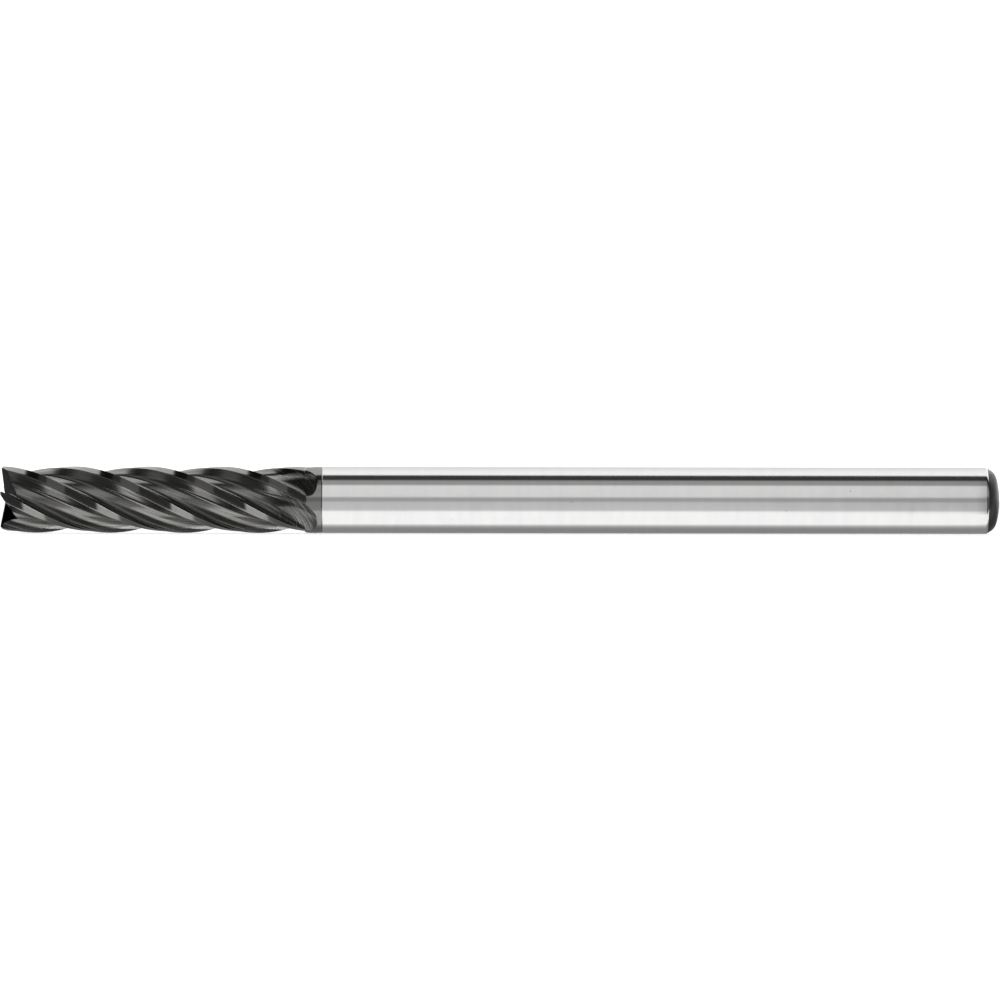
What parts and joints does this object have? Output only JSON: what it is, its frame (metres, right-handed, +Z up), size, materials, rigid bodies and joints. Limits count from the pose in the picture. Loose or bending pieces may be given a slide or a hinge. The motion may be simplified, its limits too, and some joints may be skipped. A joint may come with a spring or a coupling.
{
  "type": "end mill",
  "caption": "Extra-long square end mill: dark coated head with helical flutes and square end teeth, on a bright ground cylindrical shank with a dark chamfered end.",
  "frame": {"origin": "centre of the shank's flat end face, on the tool's axis", "axes": "+X along the tool's axis, out of the shank end and away from the cutting tip; +Z up when the tool lies on a bench"},
  "size_m": [0.15, 0.01, 0.01],
  "materials": {
    "coated_carbide": "thin dark grey hard coating over ground carbide, satin, with grinding marks along the flutes",
    "silver_braze": "pale silver braze, ground flush",
    "ground_steel": "centreless ground and polished, near mirror",
    "blackened_steel": "dark oxide, satin"
  },
  "bodies": {
    "root": {"cutting_head": "coated_carbide", "braze_joint": "silver_braze", "shank": "ground_steel", "shank_end": "blackened_steel"}
  },
  "joints": []
}
